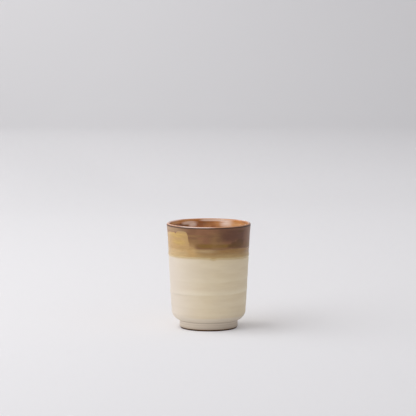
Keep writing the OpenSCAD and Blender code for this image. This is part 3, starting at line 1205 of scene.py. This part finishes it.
def make_liner_glaze():
    constants = {"IOR": GLAZE_IOR, "Roughness": LINER_ROUGH}
    material, tree, shader = new_material("liner_glaze_finish", constants)
    place = place_on(tree)
    poured = use_group(tree, poured_group, {"Place": place})
    colour = layer(tree, poured["Colour"], reading(tree, "on_crest"), 0.45, POURED_BRIGHT)
    height = height_of(tree, place)
    pool = falling(tree, height, FLOOR_EDGE_Z * MM, (FLOOR_EDGE_Z + POOL_H) * MM)
    changing = {
        "Base Color": layer(tree, colour, pool, 0.85, POOL_BROWN),
        "Normal": add_bump(tree, poured["Relief"], 0.25, RUNS_DEPTH),
    }
    return link_up(material, tree, changing, shader.inputs)


liner_coat.data.materials.append(make_liner_glaze())

# %% [markdown]
# The clay shows only where the cup stands. It is a coarse, iron-bearing stoneware, fired brown, with
# dark and pale grains in it, and its brown is painted darker to carry the contact shadow where the
# cup stands on the table. Its mesh is the imported model's, so only its material is made here, and
# it goes on the object and not on the mesh.

# %% The bare clay of the foot ring
# Painted shade: the clay's brown is darkened for the contact shadow at the standing edge.
CLAY_BROWN_AND_SHADE = srgb("#412304")
CLAY_DARK = srgb("#2c1807")
CLAY_GRAIN = srgb("#6b4620")
GRAIN_DEPTH = 0.0003


def make_clay():
    constants = {"Roughness": 0.85, "Specular IOR Level": 0.2}
    material, tree, shader = new_material("bare_stoneware_finish", constants)
    place = place_on(tree)
    grain = cloud_noise(tree, place, scale=900.0, detail=4.0)
    patches = rising(tree, cloud_noise(tree, place, scale=90.0, detail=2.0), 0.4, 0.65)
    specks = add_node(tree, "ShaderNodeTexVoronoi", {"Vector": place, "Scale": 1100.0})
    colour = blend_colour(tree, patches, CLAY_BROWN_AND_SHADE, CLAY_DARK)
    colour = layer(tree, colour, rising(tree, grain, 0.56, 0.68), 0.6, CLAY_GRAIN)
    dots = falling(tree, specks.outputs["Distance"], 0.12, 0.25)
    changing = {
        "Base Color": layer(tree, colour, dots, 0.7, CLAY_DARK),
        "Normal": add_bump(tree, grain, 0.5, GRAIN_DEPTH),
    }
    return link_up(material, tree, changing, shader.inputs)


clay_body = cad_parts["clay_body"]
clay_body.material_slots[0].link = "OBJECT"
clay_body.material_slots[0].material = make_clay()

# %% [markdown]
# The cup stands on a pale sheet of paper that turns up into a wall far behind it. The sheet's side
# view is two lines, floor and wall, which are drawn out sideways. Its shading is smooth, which turns
# the fold between them into a slow change of light, so that no horizon shows. Seen from below the
# paper lets the view through, so that the foot can be looked at.

# %% The paper sweep
SWEEP_FRONT, SWEEP_BACK = -3.0, 2.47
SWEEP_HALF_W = 3.0
SWEEP_TOP = 2.4
PAPER = srgb("#ebe9ea")


def make_paper():
    constants = {"Base Color": PAPER, "Roughness": 0.9, "Specular IOR Level": 0.15}
    material, tree, shader = new_material("paper", constants)
    behind = add_node(tree, "ShaderNodeNewGeometry").outputs["Backfacing"]
    clear = add_node(tree, "ShaderNodeBsdfTransparent")
    inputs = {0: behind, 1: shader.outputs[0], 2: clear.outputs[0]}
    either = add_node(tree, "ShaderNodeMixShader", inputs)
    tree.links.new(either.outputs[0], tree.nodes["Material Output"].inputs[0])
    return material


def make_sweep():
    bm = bmesh.new()
    corners = [
        bm.verts.new((-SWEEP_HALF_W, y, z))
        for y, z in ((SWEEP_FRONT, 0), (SWEEP_BACK, 0), (SWEEP_BACK, SWEEP_TOP))
    ]
    lines = [bm.edges.new(pair) for pair in zip(corners, corners[1:])]
    drawn = bmesh.ops.extrude_edge_only(bm, edges=lines)
    moved = [v for v in drawn["geom"] if isinstance(v, bmesh.types.BMVert)]
    bmesh.ops.translate(bm, vec=(2 * SWEEP_HALF_W, 0, 0), verts=moved)
    bmesh.ops.recalc_face_normals(bm, faces=bm.faces)
    floor = min(bm.faces, key=lambda f: f.calc_center_median().z)
    if floor.normal.z < 0:
        bmesh.ops.reverse_faces(bm, faces=bm.faces)
    sweep = new_object("paper_sweep", bm)
    sweep.data.materials.append(make_paper())


make_sweep()

# %% [markdown]
# A big window stands to the left and a little in front. It gives the cup its bright left side and
# the soft shadow on its right. A third of its light casts no shadow, which keeps the shadow pale. A
# small light overhead makes the lip's glint, and a weak card on the right lifts the dark side. Two
# more lights without shadows, one behind and one above, give the background its slow change from
# light to dark. The world is a pale, even grey that fills the rest.

# %% Light
scene = bpy.context.scene
scene.view_settings.view_transform = "Standard"
scene.view_settings.look = "None"

CUP_MIDDLE = (0.0, 0.0, LIP_Z / 2 * MM)
SWEEP_FLOOR = (0.0, 0.87, 0.05)
WINDOW_PLACE = (-1.13, -0.21, 0.90)
WINDOW_SIZE = (2.72, 1.06)
WORLD_GREY = srgb("#f1f2f6")
WORLD_STRENGTH = 0.551


def make_light(name, place, size, power, aim=CUP_MIDDLE, casts=True):
    data = bpy.data.lights.new(name, "AREA")
    data.use_shadow = casts
    data.shape = "RECTANGLE"
    data.size, data.size_y = size
    data.energy = power
    light = bpy.data.objects.new(name, data)
    scene.collection.objects.link(light)
    light.location = place
    light.rotation_euler = (Vector(aim) - Vector(place)).to_track_quat("-Z", "Y").to_euler()
    print(f"{name}: {power} W at {place}")


make_light("window", WINDOW_PLACE, size=WINDOW_SIZE, power=14.5)
make_light("window_haze", WINDOW_PLACE, size=WINDOW_SIZE, power=6.7, casts=False)
make_light(
    "back_window", (-0.70, 2.14, 1.29), size=(0.7, 0.7), power=7.2, aim=SWEEP_FLOOR, casts=False
)
make_light("overhead", (-0.30, 0.08, 1.00), size=(0.30, 0.30), power=1.0)
make_light("ceiling", (0.27, 0.81, 1.42), size=(0.67, 0.67), power=2.5, casts=False)
make_light("right_card", (0.85, -0.60, 0.35), size=(0.35, 0.5), power=0.23)

world = bpy.data.worlds.new("studio")
world.use_nodes = True
background = world.node_tree.nodes["Background"]
background.inputs["Color"].default_value = WORLD_GREY
background.inputs["Strength"].default_value = WORLD_STRENGTH
scene.world = world

# %% [markdown]
# The photograph fixes the camera. The lip is an ellipse 0.11 as high as it is wide and the foot one
# of about 0.155, so the camera looks at the lip from 6.4 degrees above and at the table from 9. That
# puts it 2 m away. The lip's width in pixels then gives the focal length, and the place of the foot
# in the frame gives the tilt.

# %% Camera
PHOTO_SIDE = 416
LIP_LEFT, LIP_RIGHT = 166.65, 250.7
FOOT_PIXEL_Y = 327.05
CAMERA_AWAY = 1.95
CAMERA_UP = 0.308
SENSOR = 36.0


def make_camera():
    middle = PHOTO_SIDE / 2
    lip_away = math.hypot(CAMERA_AWAY, CAMERA_UP - LIP_BASE_Z * MM)
    focal_pixels = (LIP_RIGHT - LIP_LEFT) / (2 * LIP_R * MM) * lip_away
    down_to_foot = math.atan2(CAMERA_UP, CAMERA_AWAY)
    tilt = down_to_foot - math.atan2(FOOT_PIXEL_Y - middle, focal_pixels)
    across = ((LIP_LEFT + LIP_RIGHT) / 2 - middle) / focal_pixels * CAMERA_AWAY
    data = bpy.data.cameras.new("camera")
    data.sensor_width = SENSOR
    data.lens = focal_pixels * SENSOR / PHOTO_SIDE
    camera = bpy.data.objects.new("camera", data)
    scene.collection.objects.link(camera)
    camera.location = (-across, -CAMERA_AWAY, CAMERA_UP)
    camera.rotation_euler = (math.pi / 2 - tilt, 0, 0)
    print(f"Focal length {data.lens:.0f} mm, tilted down {math.degrees(tilt):.1f} degrees")
    return camera


scene.camera = make_camera()
